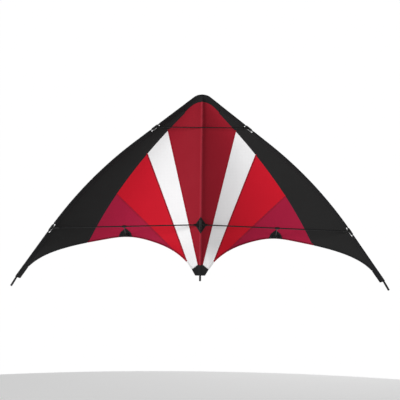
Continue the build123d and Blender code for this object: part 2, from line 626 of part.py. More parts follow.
# Places and axes that the record repeats
lower_axis = LOWER_NOTCH[1]
print("lower connector at", LOWER_NOTCH[0], "leading edge direction", lower_axis)
print("stand-off clip at", foot, "spreader direction", SPREADER_DIRECTION)
print("rod end", ROD_END, "upper notch", UPPER_NOTCH[0])
print("stand-off length", round(standoff_line.length, 2))
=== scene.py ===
"""The looks of the two-line delta kite: cloth panels, seams, hems, sleeves, webbing and finishes."""

import math

import bmesh
import bpy
import numpy as np
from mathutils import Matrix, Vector


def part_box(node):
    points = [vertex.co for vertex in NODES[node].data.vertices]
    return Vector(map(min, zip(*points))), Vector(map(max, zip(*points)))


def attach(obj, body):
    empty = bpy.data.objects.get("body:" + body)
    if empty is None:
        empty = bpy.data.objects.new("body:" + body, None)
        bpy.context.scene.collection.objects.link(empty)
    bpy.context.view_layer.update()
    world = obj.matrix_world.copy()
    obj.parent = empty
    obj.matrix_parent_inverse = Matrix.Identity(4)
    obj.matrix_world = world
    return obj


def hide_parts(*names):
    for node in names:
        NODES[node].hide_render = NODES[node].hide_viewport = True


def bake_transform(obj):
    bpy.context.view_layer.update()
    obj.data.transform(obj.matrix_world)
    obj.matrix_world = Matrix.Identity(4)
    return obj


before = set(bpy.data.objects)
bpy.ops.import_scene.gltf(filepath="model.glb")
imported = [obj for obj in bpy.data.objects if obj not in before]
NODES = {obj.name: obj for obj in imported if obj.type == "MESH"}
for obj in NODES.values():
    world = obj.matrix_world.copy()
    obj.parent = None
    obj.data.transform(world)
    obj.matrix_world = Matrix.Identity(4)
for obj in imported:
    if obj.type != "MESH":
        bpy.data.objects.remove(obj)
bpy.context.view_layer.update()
SIDES = (("right", 1), ("left", -1))

# ---- sizes, in metres
MM = 0.001


def place(x, z):
    """A place on the kite's outline, given in millimetres."""
    return np.array([x, z]) * MM


NOSE_TOP = 449.5 * MM
FLANK = place(29, 440)
TIP = place(636.5, -184)
UPPER_SWEEP, LOWER_SWEEP = math.radians(37.6), math.radians(54.8)
BEND_R = 1380 * MM
AXIS_INSET = 3.2 * MM  # from the leading edge's outer line to the rod's axis
BILLOW, BILLOW_FULL_Z = 100 * MM, -45 * MM
GATHER_TOP, GATHER_BOTTOM, GATHER_LEAST = -40 * MM, -165 * MM, 0.1
SPINE_SIDE = 4.8 * MM
SPINE_SLEEVE_R = 4.4 * MM
CLOTH = 0.35 * MM

TAIL_NECK = place(7, -136)
TAIL_SHOULDER = place(28.5, -154)
TAIL_BOTTOM = place(17.5, -173.5)
WHITE_INNER_TOP, WHITE_INNER_BOTTOM = place(116.5, 328), place(6.5, -137)
WHITE_OUTER_TOP, WHITE_OUTER_BOTTOM = place(188.5, 244), place(46.5, -128)
CRIMSON_UPPER, CRIMSON_LOWER = place(293, 102), place(97.5, -87)
BORDER_END = place(394, -65.5)
SPINE_EDGE_TOP = 430 * MM  # where the centre panel's edge along the spine ends at the nose
TIP_POCKET_LENGTH, TIP_POCKET_WIDTH, TIP_POCKET_SLANT = 55 * MM, 18.5 * MM, 5.5 * MM
TIP_BEND_DEPTH, TIP_ROD_SWEEP = 30 * MM, math.radians(58.9)  # where the rod bends inside the pocket
TIP_ROD_LENGTH, TIP_CAP_DEPTH, TAIL_CAP_TOP = 62 * MM, 28 * MM, -177 * MM
NOTCH_HEIGHTS = {"upper": 334 * MM, "lower": -15.5 * MM}
NOTCH_LENGTH, NOTCH_DEPTH = 35 * MM, 9.5 * MM
NOSE_HALF_END = 60 * MM
BESIDE_UPPER_CONNECTOR = place(170, 322)
BESIDE_LOWER_CONNECTOR = place(505, -12)
UNDER_NOSE = place(10, 425)
STANDOFF = place(263, -45.5)
STANDOFF_PATCH_TOP = place(263, -15.5)
DIAMOND_HALF_WIDTH, DIAMOND_HALF_HEIGHT = 20 * MM, 29 * MM


# ---- the leading edge
def down(sweep):
    """The way along a leading edge of this slope, away from the nose."""
    return np.array([math.cos(sweep), -math.sin(sweep)])


def inward(sweep):
    """The way from the leading edge into the sail, for one slope or for an array of them."""
    return np.stack([-np.sin(sweep), -np.cos(sweep)], -1)


def edge_lines(inset):
    """The leading edge line at this inset: its start, where its arc starts and ends, and its radius."""
    start, end = FLANK + inward(UPPER_SWEEP) * inset, TIP + inward(LOWER_SWEEP) * inset
    d, e, gap = down(UPPER_SWEEP), down(LOWER_SWEEP), end - start
    along = (gap[0] * e[1] - gap[1] * e[0]) / (d[0] * e[1] - d[1] * e[0])
    corner, radius = start + d * along, BEND_R - inset
    tangent = radius * math.tan((LOWER_SWEEP - UPPER_SWEEP) / 2)
    return start, corner - d * tangent, corner + e * tangent, radius


_, ARC_START, ARC_END, EDGE_R = edge_lines(0)
ARC_CENTRE = ARC_START + inward(UPPER_SWEEP) * EDGE_R


def leading_edge_x(z):
    """How far out the leading edge is at this height."""
    upper = FLANK[0] + (FLANK[1] - z) / math.tan(UPPER_SWEEP)
    lower = TIP[0] + (TIP[1] - z) / math.tan(LOWER_SWEEP)
    arc = ARC_CENTRE[0] + np.sqrt(np.maximum(EDGE_R**2 - (z - ARC_CENTRE[1]) ** 2, 0))
    return np.where(z >= ARC_START[1], upper, np.where(z <= ARC_END[1], lower, arc))


AXIS_START, AXIS_ARC_START, _, AXIS_R = edge_lines(AXIS_INSET)
AXIS_FIRST = float(np.linalg.norm(AXIS_ARC_START - AXIS_START))
AXIS_ARC = AXIS_R * (LOWER_SWEEP - UPPER_SWEEP)


def rod_axis(s):
    """The rod's axis at distance s from the nose end of its straight stretch: (points, slopes)."""
    s = np.asarray(s, float)[..., None]
    sweep = UPPER_SWEEP + np.clip(s - AXIS_FIRST, 0, AXIS_ARC)[..., 0] / AXIS_R
    first = np.minimum(s, AXIS_FIRST) * down(UPPER_SWEEP)
    arc = AXIS_R * (inward(UPPER_SWEEP) - inward(sweep))
    last = np.maximum(s - AXIS_FIRST - AXIS_ARC, 0) * down(LOWER_SWEEP)
    return AXIS_START + first + arc + last, sweep


AXIS_TABLE_S = np.linspace(0, 900 * MM, 901)  # every millimetre, past the rod's end
AXIS_TABLE_Z = rod_axis(AXIS_TABLE_S)[0][:, 1]


def axis_distance(z):
    """The distance along the rod's axis at which it reaches this height."""
    return float(np.interp(-z, -AXIS_TABLE_Z, AXIS_TABLE_S))


# ---- the sail's surface
def smooth(t):
    """Eases from 0 to 1."""
    return t * t * (3 - 2 * t)


def billow(x, z):
    """How far the sheet bulges backwards here."""
    share = x / leading_edge_x(z)
    depth = (NOSE_TOP - z) / (NOSE_TOP - BILLOW_FULL_Z)
    fall = np.clip((GATHER_TOP - z) / (GATHER_TOP - GATHER_BOTTOM), 0, 1)
    gather = 1 - (1 - GATHER_LEAST) * smooth(fall)
    return BILLOW * depth * gather * np.sin(np.pi * share)


# Where the cloth is pulled, short creases fan out: (place, creases round it, height, reach, phase)
PULLS = [
    (STANDOFF, 11, 0.55 * MM, 70 * MM, 0.4),
    (TIP, 17, 0.5 * MM, 90 * MM, 1.1),
    (TAIL_SHOULDER, 9, 0.6 * MM, 70 * MM, 2.0),
    (BESIDE_UPPER_CONNECTOR, 9, 0.35 * MM, 45 * MM, 0.0),
    (BESIDE_LOWER_CONNECTOR, 11, 0.4 * MM, 55 * MM, 2.6),
    (UNDER_NOSE, 9, 0.4 * MM, 70 * MM, 1.7),
]
PULL_CORE = 26 * MM  # the creases start this far from the place itself
# Stitching gathers the cloth a little beside each straight seam
SEAM_LINES = [(WHITE_INNER_TOP, WHITE_INNER_BOTTOM), (WHITE_OUTER_TOP, WHITE_OUTER_BOTTOM),
              (CRIMSON_UPPER, CRIMSON_LOWER)]
PUCKER, PUCKER_REACH, PUCKER_LENGTH, PUCKER_DRIFT = 0.16 * MM, 9 * MM, 13 * MM, 31 * MM
# Long shallow undulations over the whole sheet
SWELL, SWELL_X, SWELL_Z, SWELL_START = 0.5 * MM, 47 * MM, 61 * MM, 80 * MM
LEFT_TURN = 0.9  # shifts the left wing's pattern, so that the wings differ a little
EDGE_FADE, SPINE_FADE_START, SPINE_FADE = 30 * MM, 3 * MM, 20 * MM  # the sheet is smooth beside its rods


def relief(x, z, side):
    """Creases and puckers on top of the billow, a little different on the two wings."""
    turn = LEFT_TURN if side < 0 else 0.0
    out = np.zeros_like(x)
    for middle, count, height, reach, phase in PULLS:
        dx, dz = x - middle[0], z - middle[1]
        r = np.hypot(dx, dz)
        fan = np.cos(count * np.arctan2(dz, dx) + phase + turn)
        out += height * fan * np.exp(-r / reach) * (1 - np.exp(-((r / PULL_CORE) ** 2)))
    for k, (a, b) in enumerate(SEAM_LINES):
        d = (b - a) / np.linalg.norm(b - a)
        dx, dz = x - a[0], z - a[1]
        along, off = dx * d[0] + dz * d[1], dx * d[1] - dz * d[0]
        wobble = np.sin(2 * np.pi * along / PUCKER_LENGTH + 2.2 * np.sin(along / PUCKER_DRIFT + k + turn))
        out += PUCKER * wobble * np.exp(-((off / PUCKER_REACH) ** 2))
    waves = np.sin(x / SWELL_X + turn) * np.sin(z / SWELL_Z + 1.3 + turn)
    out += SWELL * waves * np.clip(x / SWELL_START, 0, 1)
    off_edge = np.clip((leading_edge_x(z) - x) / EDGE_FADE, 0, 1)
    off_spine = np.clip((x - SPINE_FADE_START) / SPINE_FADE, 0, 1)
    return out * off_edge * off_spine


def sail_point(xz, side, lift=0.0):
    """Points on the sail, this far in front of the middle of the cloth, for outline points (x, z)."""
    xz = np.asarray(xz, float)
    x, z = xz[..., 0], xz[..., 1]
    y = billow(x, z) + CLOTH / 2 + relief(x, z, side) - lift
    return np.stack([side * x, y, z], -1)


# ---- outlines taken from the frame
FACES_FRONT = -0.3  # a CAD face whose normal's y is below this is part of the front


def front_outline(node):
    """The edge of a CAD node's front, in order round it, as (x, z)."""
    mesh = NODES[node].data
    corners = [tuple(round(c, 6) for c in v.co) for v in mesh.vertices]
    points, edges = {}, {}
    for corner, v in zip(corners, mesh.vertices):
        points.setdefault(corner, (v.co.x, v.co.z))
    for face in mesh.polygons:
        if face.normal.y < FACES_FRONT:
            loop = [corners[i] for i in face.vertices]
            edges.update(dict.fromkeys(zip(loop, loop[1:] + loop[:1])))
    follow = {a: b for a, b in edges if (b, a) not in edges}
    order = [next(iter(follow))]
    while follow[order[-1]] != order[0]:
        order.append(follow[order[-1]])
    return np.array([points[corner] for corner in order])


def stretch(loop, *waypoints):
    """The shorter way round the loop from each waypoint to the next, joined. One waypoint is a point."""
    if len(waypoints) == 1:
        return np.array(waypoints)
    out, n = [], len(loop)
    for a, b in zip(waypoints, waypoints[1:]):
        i, j = (int(np.linalg.norm(loop - end, axis=1).argmin()) for end in (a, b))
        ahead = [loop[(i + k) % n] for k in range((j - i) % n + 1)]
        back = [loop[(i - k) % n] for k in range((i - j) % n + 1)]
        way = min(ahead, back, key=length_of)
        out.extend(way[1:] if out else way)
    return np.array(out)


def distances(line):
    """How far along the line each of its points is."""
    return np.concatenate([[0], np.cumsum(np.linalg.norm(np.diff(line, axis=0), axis=1))])


def length_of(line):
    return float(distances(line)[-1])


def at_distances(line, at):
    """The line's points at these distances along it."""
    along = distances(line)
    return np.stack([np.interp(at, along, coordinate) for coordinate in line.T], 1)


def resample(line, count):
    """The line through this many evenly spaced points."""
    return at_distances(line, np.linspace(0, length_of(line), count))


def trimmed(line, start):
    """The line without this much of its first end."""
    along = distances(line)
    return at_distances(line, np.concatenate([[start], along[along > start]]))


def patchwork(bottom, top, left, right, step):
    """A grid of (x, z) between four sides, with cells of about step. Rows run from bottom to top."""
    columns = max(4, round(max(length_of(bottom), length_of(top)) / step) + 1)
    rows = max(4, round(max(length_of(left), length_of(right)) / step) + 1)
    bottom, top = resample(bottom, columns), resample(top, columns)
    left, right = resample(left, rows), resample(right, rows)
    u = np.linspace(0, 1, columns)[None, :, None]
    v = np.linspace(0, 1, rows)[:, None, None]
    across = (1 - u) * left[:, None] + u * right[:, None]
    upward = (1 - v) * bottom[None] + v * top[None]
    corners = (1 - v) * ((1 - u) * bottom[0] + u * bottom[-1]) + v * ((1 - u) * top[0] + u * top[-1])
    return across + upward - corners


# ---- meshes
WELD, SHORTEST_EDGE = 0.001 * MM, 0.0001 * MM


def linked(name, data):
    """A new object in the scene."""
    obj = bpy.data.objects.new(name, data)
    bpy.context.scene.collection.objects.link(obj)
    return obj


def new_piece(name, verts, faces, uvs, material, sharp=40):
    """A smooth-shaded mesh object, with its edges over this many degrees left sharp."""
    mesh = bpy.data.meshes.new(name)
    mesh.from_pydata(verts.reshape(-1, 3).tolist(), [], faces)
    layer = mesh.uv_layers.new(name="UVMap")
    at = np.zeros(len(mesh.loops), int)
    mesh.loops.foreach_get("vertex_index", at)
    layer.data.foreach_set("uv", uvs.reshape(-1, 2)[at].ravel())
    bm = bmesh.new()
    bm.from_mesh(mesh)
    bmesh.ops.remove_doubles(bm, verts=bm.verts, dist=WELD)
    bmesh.ops.dissolve_degenerate(bm, edges=bm.edges, dist=SHORTEST_EDGE)
    bmesh.ops.recalc_face_normals(bm, faces=bm.faces)
    bm.to_mesh(mesh)
    bm.free()
    mesh.shade_smooth()
    mesh.set_sharp_from_angle(angle=math.radians(sharp))
    mesh.materials.append(material)
    return linked(name, mesh)


def rim_of(grid):
    """The outermost entries of a grid, in order round it."""
    return np.concatenate([grid[0], grid[1:, -1], grid[-1, -2::-1], grid[-2:0:-1, 0]])


def wall(ring, offset):
    """The faces between a ring of vertices and the ring that is offset from it."""
    turned = np.roll(ring, -1)
    return np.stack([ring, offset + ring, offset + turned, turned], -1).tolist()


def skin(count, around, first=0):
    """The faces of a tube through this many rings, of this many vertices each."""
    rings = first + np.arange(count * around).reshape(count, around)
    return [face for ring in rings[:-1] for face in wall(ring, around)]


def sheet_piece(name, grid, uv, thickness, material):
    """A closed sheet of this thickness about a grid of points."""
    normal = np.cross(np.gradient(grid, axis=1), np.gradient(grid, axis=0))
    normal /= np.maximum(np.linalg.norm(normal, axis=-1, keepdims=True), 1e-12)
    normal = np.where(np.abs(normal).sum(-1, keepdims=True) < 0.5, [0, -1, 0], normal)
    n = grid.shape[0] * grid.shape[1]
    index = np.arange(n).reshape(grid.shape[:2])
    quads = np.stack([index[:-1, :-1], index[:-1, 1:], index[1:, 1:], index[1:, :-1]], -1).reshape(-1, 4)
    faces = quads.tolist() + (n + quads[:, ::-1]).tolist() + wall(rim_of(index), n)
    layers = np.stack([grid + normal * thickness / 2, grid - normal * thickness / 2])
    return new_piece(name, layers, faces, np.stack([uv, uv]), material)


def loft(name, rings, uv, material, sharp=50):
    """A closed skin through rings of points, one after another, with its ends closed."""
    count, around = rings.shape[:2]
    faces = skin(count, around)
    half = around // 2
    for base in (0, (count - 1) * around):
        for j in range(half - 1):
            faces.append((base + j, base + j + 1, base + around - 2 - j, base + around - 1 - j))
        if around % 2:
            faces.append((base + half - 1, base + half, base + half + 1))
    return new_piece(name, rings, faces, uv, material, sharp)


def stretched(grid):
    """Centres the grid's points on their mean; nothing is kept or returned."""
    points = grid.reshape(-1, 3)
    points = points - points.mean(0)


def on_wing(obj, name):
    """The piece moves with this wing."""
    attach(obj, f"{name}_wing")


def across_spine(obj):
    """Bakes the piece's placement into its mesh."""
    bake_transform(obj)


# ---- materials
def linear(*rgb):
    """A colour given in 0 to 255 as the linear values that a shader takes."""
    return tuple((c / 255 / 12.92 if c <= 10.31 else ((c / 255 + 0.055) / 1.055) ** 2.4) for c in rgb)


class Finish:
    """A node material with one Principled shader and short calls for its inputs."""

    def __init__(self, name, roughness, **sockets):
        self.material = bpy.data.materials.new(name)
        self.material.use_nodes = True
        self.tree = self.material.node_tree
        self.shader = self.tree.nodes["Principled BSDF"]
        self.shader.inputs["Roughness"].default_value = roughness
        for socket, value in sockets.items():
            self.shader.inputs[socket.replace("_", " ")].default_value = value

    def node(self, kind, **settings):
        made = self.tree.nodes.new(kind)
        for key, value in settings.items():
            setattr(made, key, value)
        return made

    def feed(self, target, value):
        if isinstance(value, bpy.types.NodeSocket):
            self.tree.links.new(value, target)
        else:
            target.default_value = value

    def math(self, operation, a, b=0.0):
        made = self.node("ShaderNodeMath", operation=operation)
        for target, value in zip(made.inputs, (a, b)):
            self.feed(target, value)
        return made.outputs[0]

    def uv(self):
        """The UV map's two coordinates, in metres."""
        split = self.node("ShaderNodeSeparateXYZ")
        self.feed(split.inputs[0], self.node("ShaderNodeUVMap", uv_map="UVMap").outputs[0])
        return split.outputs[0], split.outputs[1]

    def place(self):
        return self.node("ShaderNodeTexCoord").outputs["Object"]

    def noise(self, scale, detail, vector=None):
        made = self.node("ShaderNodeTexNoise")
        made.inputs["Scale"].default_value = scale
        made.inputs["Detail"].default_value = detail
        self.feed(made.inputs["Vector"], vector or self.place())
        return made.outputs["Fac"]

    def mix(self, factor, a, b):
        made = self.node("ShaderNodeMix", data_type="RGBA")
        self.feed(made.inputs["Factor"], factor)
        for socket, value in ((made.inputs[6], a), (made.inputs[7], b)):
            self.feed(socket, value if isinstance(value, bpy.types.NodeSocket) else (*value, 1))
        return made.outputs[2]

    def ramp(self, value, low, high, out_low, out_high):
        made = self.node("ShaderNodeMapRange", clamp=True)
        for target, number in zip(made.inputs, (value, low, high, out_low, out_high)):
            self.feed(target, number)
        return made.outputs[0]

    def bump(self, height, distance, strength, under=None):
        made = self.node("ShaderNodeBump")
        made.inputs["Strength"].default_value = strength
        made.inputs["Distance"].default_value = distance
        self.feed(made.inputs["Height"], height)
        if under is not None:
            self.feed(made.inputs["Normal"], under)
        return made.outputs[0]

    def done(self, colour, normal, roughness):
        for socket, value in (("Base Color", colour), ("Normal", normal), ("Roughness", roughness)):
            self.feed(self.shader.inputs[socket], value)
        return self.material


def band(f, value, inner, outer):
    """1 where the value is nearer to 0 than inner, and 0 where it is further away than outer."""
    return f.ramp(f.math("ABSOLUTE", value), inner, outer, 1.0, 0.0)


def repeated(f, coordinate, step):
    """How far this is from the middle of its step, from -0.5 to 0.5."""
    return f.math("SUBTRACT", f.math("FRACT", f.math("DIVIDE", coordinate, step)), 0.5)


def weave(f, u, v, pitch):
    """Threads over and under each other, as a height from -1 to 1."""
    waves = [f.math("SINE", f.math("MULTIPLY", coordinate, 2 * math.pi / pitch)) for coordinate in (u, v)]
    return f.math("MULTIPLY", *waves)


def shade(colour, factor, lift=0.0):
    """The colour made lighter or darker."""
    return tuple(c * factor + lift for c in colour)


RIP_STEP, RIP_WIDTH = 5 * MM, 0.11  # the grid of thicker threads, and their share of its step
RIPSTOP_PITCH, WEBBING_PITCH, TAPE_PITCH = 0.42 * MM, 0.6 * MM, 0.4 * MM


def ripstop(name, colour, seed):
    """Light woven cloth with a grid of thicker threads and faint mottling, which the seed makes its own."""
    f = Finish(name, 0.55, Sheen_Weight=0.01, Sheen_Roughness=0.4, Specular_IOR_Level=0.035)
    u, v = f.uv()
    ridges = [band(f, repeated(f, coordinate, RIP_STEP), RIP_WIDTH / 2, RIP_WIDTH) for coordinate in (u, v)]
    grid = f.math("MAXIMUM", *ridges)
    cloudy = f.noise(9 + seed, 4)
    crumple = f.noise(55 + seed, 5)
    tone = f.mix(f.ramp(cloudy, 0.35, 0.65, 0, 0.5), colour, shade(colour, 0.93))
    tone = f.mix(f.math("MULTIPLY", grid, 0.22), tone, shade(colour, 0.72))
    threads = f.math("MULTIPLY", weave(f, u, v, RIPSTOP_PITCH), 0.35)
    normal = f.bump(f.math("ADD", grid, threads), 0.05 * MM, 0.5)
    normal = f.bump(crumple, 0.6 * MM, 0.22, normal)
    return f.done(tone, normal, f.ramp(cloudy, 0.3, 0.7, 0.6, 0.72))


STITCH_STEP, STITCH_SHARE, STITCH_SOFT = 3 * MM, 0.68, 0.06
STITCH_CORE, STITCH_EDGE = 0.2 * MM, 0.55 * MM  # from the row's middle to where the thread fades out


def stitched(name, colour, thread, rows, pitch=WEBBING_PITCH, roughness=0.75):
    """Heavier cloth with one or two stitch rows, or none, at these places across it, where V is the place."""
    f = Finish(name, roughness, Sheen_Weight=0.01, Sheen_Roughness=0.5, Specular_IOR_Level=0.08)
    u, v = f.uv()
    wear = f.noise(38, 5)
    tone = f.mix(f.ramp(wear, 0.4, 0.62, 0, 0.6), colour, shade(colour, 1.25))
    height = f.math("MULTIPLY", weave(f, u, v, pitch), 0.3)
    if rows:
        dashes = band(f, repeated(f, u, STITCH_STEP), STITCH_SHARE / 2 - STITCH_SOFT, STITCH_SHARE / 2)
        lines = [band(f, f.math("SUBTRACT", v, row), STITCH_CORE, STITCH_EDGE) for row in rows]
        stitch = f.math("MULTIPLY", dashes, f.math("MAXIMUM", lines[0], lines[-1]))
        tone = f.mix(stitch, tone, thread)
        height = f.math("ADD", height, f.math("MULTIPLY", stitch, 2.2))
    normal = f.bump(height, 0.12 * MM, 0.6)
    return f.done(tone, normal, f.ramp(wear, 0.35, 0.7, roughness - 0.08, roughness + 0.06))


def moulded(name, colour, roughness, grain, specular):
    """Moulded rubber or plastic: fine grain, and edges rubbed a little paler."""
    f = Finish(name, roughness, Specular_IOR_Level=specular)
    fine, broad = f.noise(grain, 4), f.noise(60, 3)
    tone = f.mix(f.ramp(broad, 0.4, 0.65, 0, 0.5), colour, shade(colour, 1.5))
    edges = f.node("ShaderNodeNewGeometry").outputs["Pointiness"]
    tone = f.mix(f.ramp(edges, 0.52, 0.6, 0, 0.35), tone, shade(colour, 2.4, 0.005))
    normal = f.bump(fine, 0.15 * MM, 0.35)
    return f.done(tone, normal, f.ramp(fine, 0.3, 0.7, roughness - 0.07, roughness + 0.07))


def fibreglass(name, colour):
    """Pultruded rod: half-glossy black resin with faint, fine streaks."""
    f = Finish(name, 0.36, Specular_IOR_Level=0.25, Coat_Weight=0.05, Coat_Roughness=0.25)
    squeezed = f.node("ShaderNodeMapping")
    squeezed.inputs["Scale"].default_value = (1, 1, 40)
    f.feed(squeezed.inputs["Vector"], f.place())
    streaks = f.noise(60, 4, squeezed.outputs[0])
    tone = f.mix(f.ramp(streaks, 0.35, 0.7, 0, 0.7), colour, shade(colour, 1.8))
    return f.done(tone, f.bump(streaks, 0.05 * MM, 0.3), f.ramp(streaks, 0.3, 0.7, 0.26, 0.42))


# The kinds of panel: (CAD node, slot, colour, seed)
PANELS = {
    "centre": ("centre_panel", "dark_red_ripstop", linear(153, 31, 45), 0.1),
    "white": ("white_panel", "white_ripstop", linear(246, 246, 247), 0.7),
    "bright": ("bright_red_panel", "bright_red_ripstop", linear(200, 27, 44), 1.3),
    "crimson": ("crimson_panel", "crimson_ripstop", linear(164, 31, 62), 1.9),
    "black": ("leading_edge_panel", "black_ripstop", linear(41, 41, 41), 2.3),
}
HEAVY_BLACK = linear(33, 33, 34)
THREAD_BLACK = linear(56, 56, 58)

# The rows of stitches: their places across a tape or sleeve, or their heights on a pocket
TAPE_ROWS = [-2 * MM, 2 * MM]
HEM_ROWS = [0.0]
PATCH_ROWS = [2 * MM]
SLEEVE_ROWS = [-8.5 * MM, 8.5 * MM]
SPINE_SLEEVE_ROWS = [-5 * MM, 5 * MM]
TAIL_POCKET_ROWS = [-141 * MM, -169 * MM]
TIP_POCKET_ROWS = [-152 * MM, -181 * MM]


def black_cloth(name, rows, pitch=WEBBING_PITCH):
    return stitched(name, HEAVY_BLACK, THREAD_BLACK, rows, pitch)


def coloured_tape(name, colour, thread, rows):
    return stitched(name, linear(*colour), linear(*thread), rows, TAPE_PITCH)


LOOK = {kind: ripstop(*cloth) for kind, (_, *cloth) in PANELS.items()} | {
    "webbing": black_cloth("black_webbing", []),
    "patch": black_cloth("black_patch_cloth", PATCH_ROWS),
    "sleeve": black_cloth("leading_edge_sleeve_cloth", SLEEVE_ROWS),
    "tail": black_cloth("tail_pocket_webbing_cloth", TAIL_POCKET_ROWS),
    "tip": black_cloth("wing_tip_webbing_cloth", TIP_POCKET_ROWS),
    "spine_sleeve": stitched("spine_sleeve_cloth", linear(150, 36, 50), linear(110, 24, 34),
                             SPINE_SLEEVE_ROWS, roughness=0.6),
    "red_tape": coloured_tape("red_seam_tape", (150, 22, 38), (110, 14, 26), TAPE_ROWS),
    "crimson_tape": coloured_tape("crimson_seam_tape", (150, 26, 50), (120, 18, 40), TAPE_ROWS),
    "black_tape": black_cloth("black_seam_tape", TAPE_ROWS, TAPE_PITCH),
    "white_hem": coloured_tape("white_hem_cloth", (214, 214, 214), (235, 235, 235), HEM_ROWS),
    "bright_hem": coloured_tape("bright_red_hem_cloth", (150, 18, 32), (110, 12, 24), HEM_ROWS),
    "crimson_hem": coloured_tape("crimson_hem_cloth", (128, 22, 44), (96, 16, 34), HEM_ROWS),
    "black_hem": black_cloth("black_hem_cloth", HEM_ROWS, TAPE_PITCH),
    "rod": fibreglass("fibreglass_rod", linear(24, 24, 25)),
    "rubber": moulded("moulded_rubber", linear(19, 19, 19), 0.66, 900, 0.3),
    "cap": moulded("moulded_plastic", linear(18, 18, 19), 0.5, 1400, 0.35),
}

NODE_FINISH = {
    "rod": ("spine_rod", "leading_edge_rod", "lower_spreader", "upper_spreader", "standoff_rod"),
    "rubber": ("centre_cross", "lower_connector", "upper_connector", "connector_stop_rings",
               "clip_stop_rings", "standoff_tip"),
    "cap": ("spine_nose_cap", "spine_tail_cap", "wing_tip_cap", "upper_spreader_caps", "standoff_clip",
            "standoff_socket"),
}
for finish, starts in NODE_FINISH.items():
    for node, obj in NODES.items():
        if node.startswith(starts):
            obj.data.materials.clear()
            obj.data.materials.append(LOOK[finish])
            obj.data.shade_smooth()
            obj.data.set_sharp_from_angle(angle=math.radians(35))

# ---- panels
CLOTH_CELL = 4.5 * MM
CLOSE = 1 * MM  # an outline's point this near to a place belongs to it
SPINE_WAY = [(SPINE_SIDE, -50 * MM), (SPINE_SIDE, 200 * MM)]  # the centre panel's edge passes here
EDGE_MIDDLE = rod_axis(450 * MM)[0]
SPINE_LAP, SPINE_LAP_FADE = 0.9 * MM, 4 * MM  # the centre panels run this far under the spine's sleeve


def panel_sides():
    """Each panel's four sides (bottom, top, left, right), on the right wing, from the frame's outlines."""
    loops = {kind: front_outline(f"{node}_right") for kind, (node, *_) in PANELS.items()}
    crimson, black = loops["crimson"], loops["black"]
    spine_top, spine_bottom = (SPINE_SIDE, SPINE_EDGE_TOP), (SPINE_SIDE, TAIL_NECK[1])
    corner = crimson[crimson[:, 1].argmin()]
    near_nose = black[black[:, 0] < NOSE_HALF_END + CLOSE]
    nose_inner, nose_outer = near_nose[near_nose[:, 1].argmin()], near_nose[near_nose[:, 1].argmax()]
    tip_inner = black[black[:, 1].argmin()]
    tip_outer = black[(black @ (down(LOWER_SWEEP) - 2 * inward(LOWER_SWEEP))).argmax()]
    ways = {
        "centre": [(spine_bottom, WHITE_INNER_BOTTOM), (spine_top, WHITE_INNER_TOP),
                   (spine_bottom, *SPINE_WAY, spine_top), (WHITE_INNER_BOTTOM, WHITE_INNER_TOP)],
        "white": [(WHITE_INNER_BOTTOM, TAIL_SHOULDER, WHITE_OUTER_BOTTOM), (WHITE_INNER_TOP, WHITE_OUTER_TOP),
                  (WHITE_INNER_BOTTOM, WHITE_INNER_TOP), (WHITE_OUTER_BOTTOM, WHITE_OUTER_TOP)],
        "bright": [(WHITE_OUTER_BOTTOM, corner), (WHITE_OUTER_TOP,),
                   (WHITE_OUTER_BOTTOM, WHITE_OUTER_TOP), (corner, CRIMSON_UPPER, WHITE_OUTER_TOP)],
        "crimson": [(corner, STANDOFF, BORDER_END), (CRIMSON_UPPER,),
                    (corner, CRIMSON_UPPER), (BORDER_END, CRIMSON_UPPER)],
        "black": [(BORDER_END, tip_inner, tip_outer), (nose_inner, nose_outer),
                  (BORDER_END, CRIMSON_UPPER, nose_inner), (tip_outer, EDGE_MIDDLE, nose_outer)],
    }
    return {kind: [stretch(loops[kind], *way) for way in sides] for kind, sides in ways.items()}


PANEL = panel_sides()


def make_panels():
    for kind, sides in PANEL.items():
        node, slot = PANELS[kind][:2]
        outline = patchwork(*sides, CLOTH_CELL)
        if kind == "centre":
            outline[..., 0] -= SPINE_LAP * np.exp(-(outline[..., 0] - SPINE_SIDE) / SPINE_LAP_FADE)
        for name, side in SIDES:
            grid = sail_point(outline, side)
            piece = sheet_piece(f"{node}_cloth_{name}", grid, outline, CLOTH, LOOK[kind])
            on_wing(piece, name)
            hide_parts(f"{node}_{name}")
            stretched(grid)


# ---- seams and hems
TAPE_STEP = 3 * MM
# Half of a tape's section, from edge to edge: (place across, height), as shares of the half sizes
TAPE_PROFILE = [(-1, 0.25), (-0.86, 0.85), (-0.4, 1.0), (0, 0.94), (0.4, 1.0), (0.86, 0.85), (1, 0.25)]
SEAM_HALF_WIDTH, BLACK_SEAM_HALF_WIDTH, SEAM_THICKNESS = 2.6 * MM, 3.2 * MM, 0.9 * MM
HEM_HALF_WIDTH, HEM_THICKNESS, HEM_INSET = 3 * MM, 1.1 * MM, 2.4 * MM
# Where a seam or hem stops short of the one that it meets
WHITE_SEAM_GAP, CRIMSON_SEAM_GAP, BRIGHT_HEM_GAP = 3.5 * MM, 5 * MM, 2.2 * MM
BINDING_HALF_WIDTH, BINDING_PROUD, BINDING_LAP, BINDING_POINTS = 3.3 * MM, 1.75 * MM, 1 * MM, 12


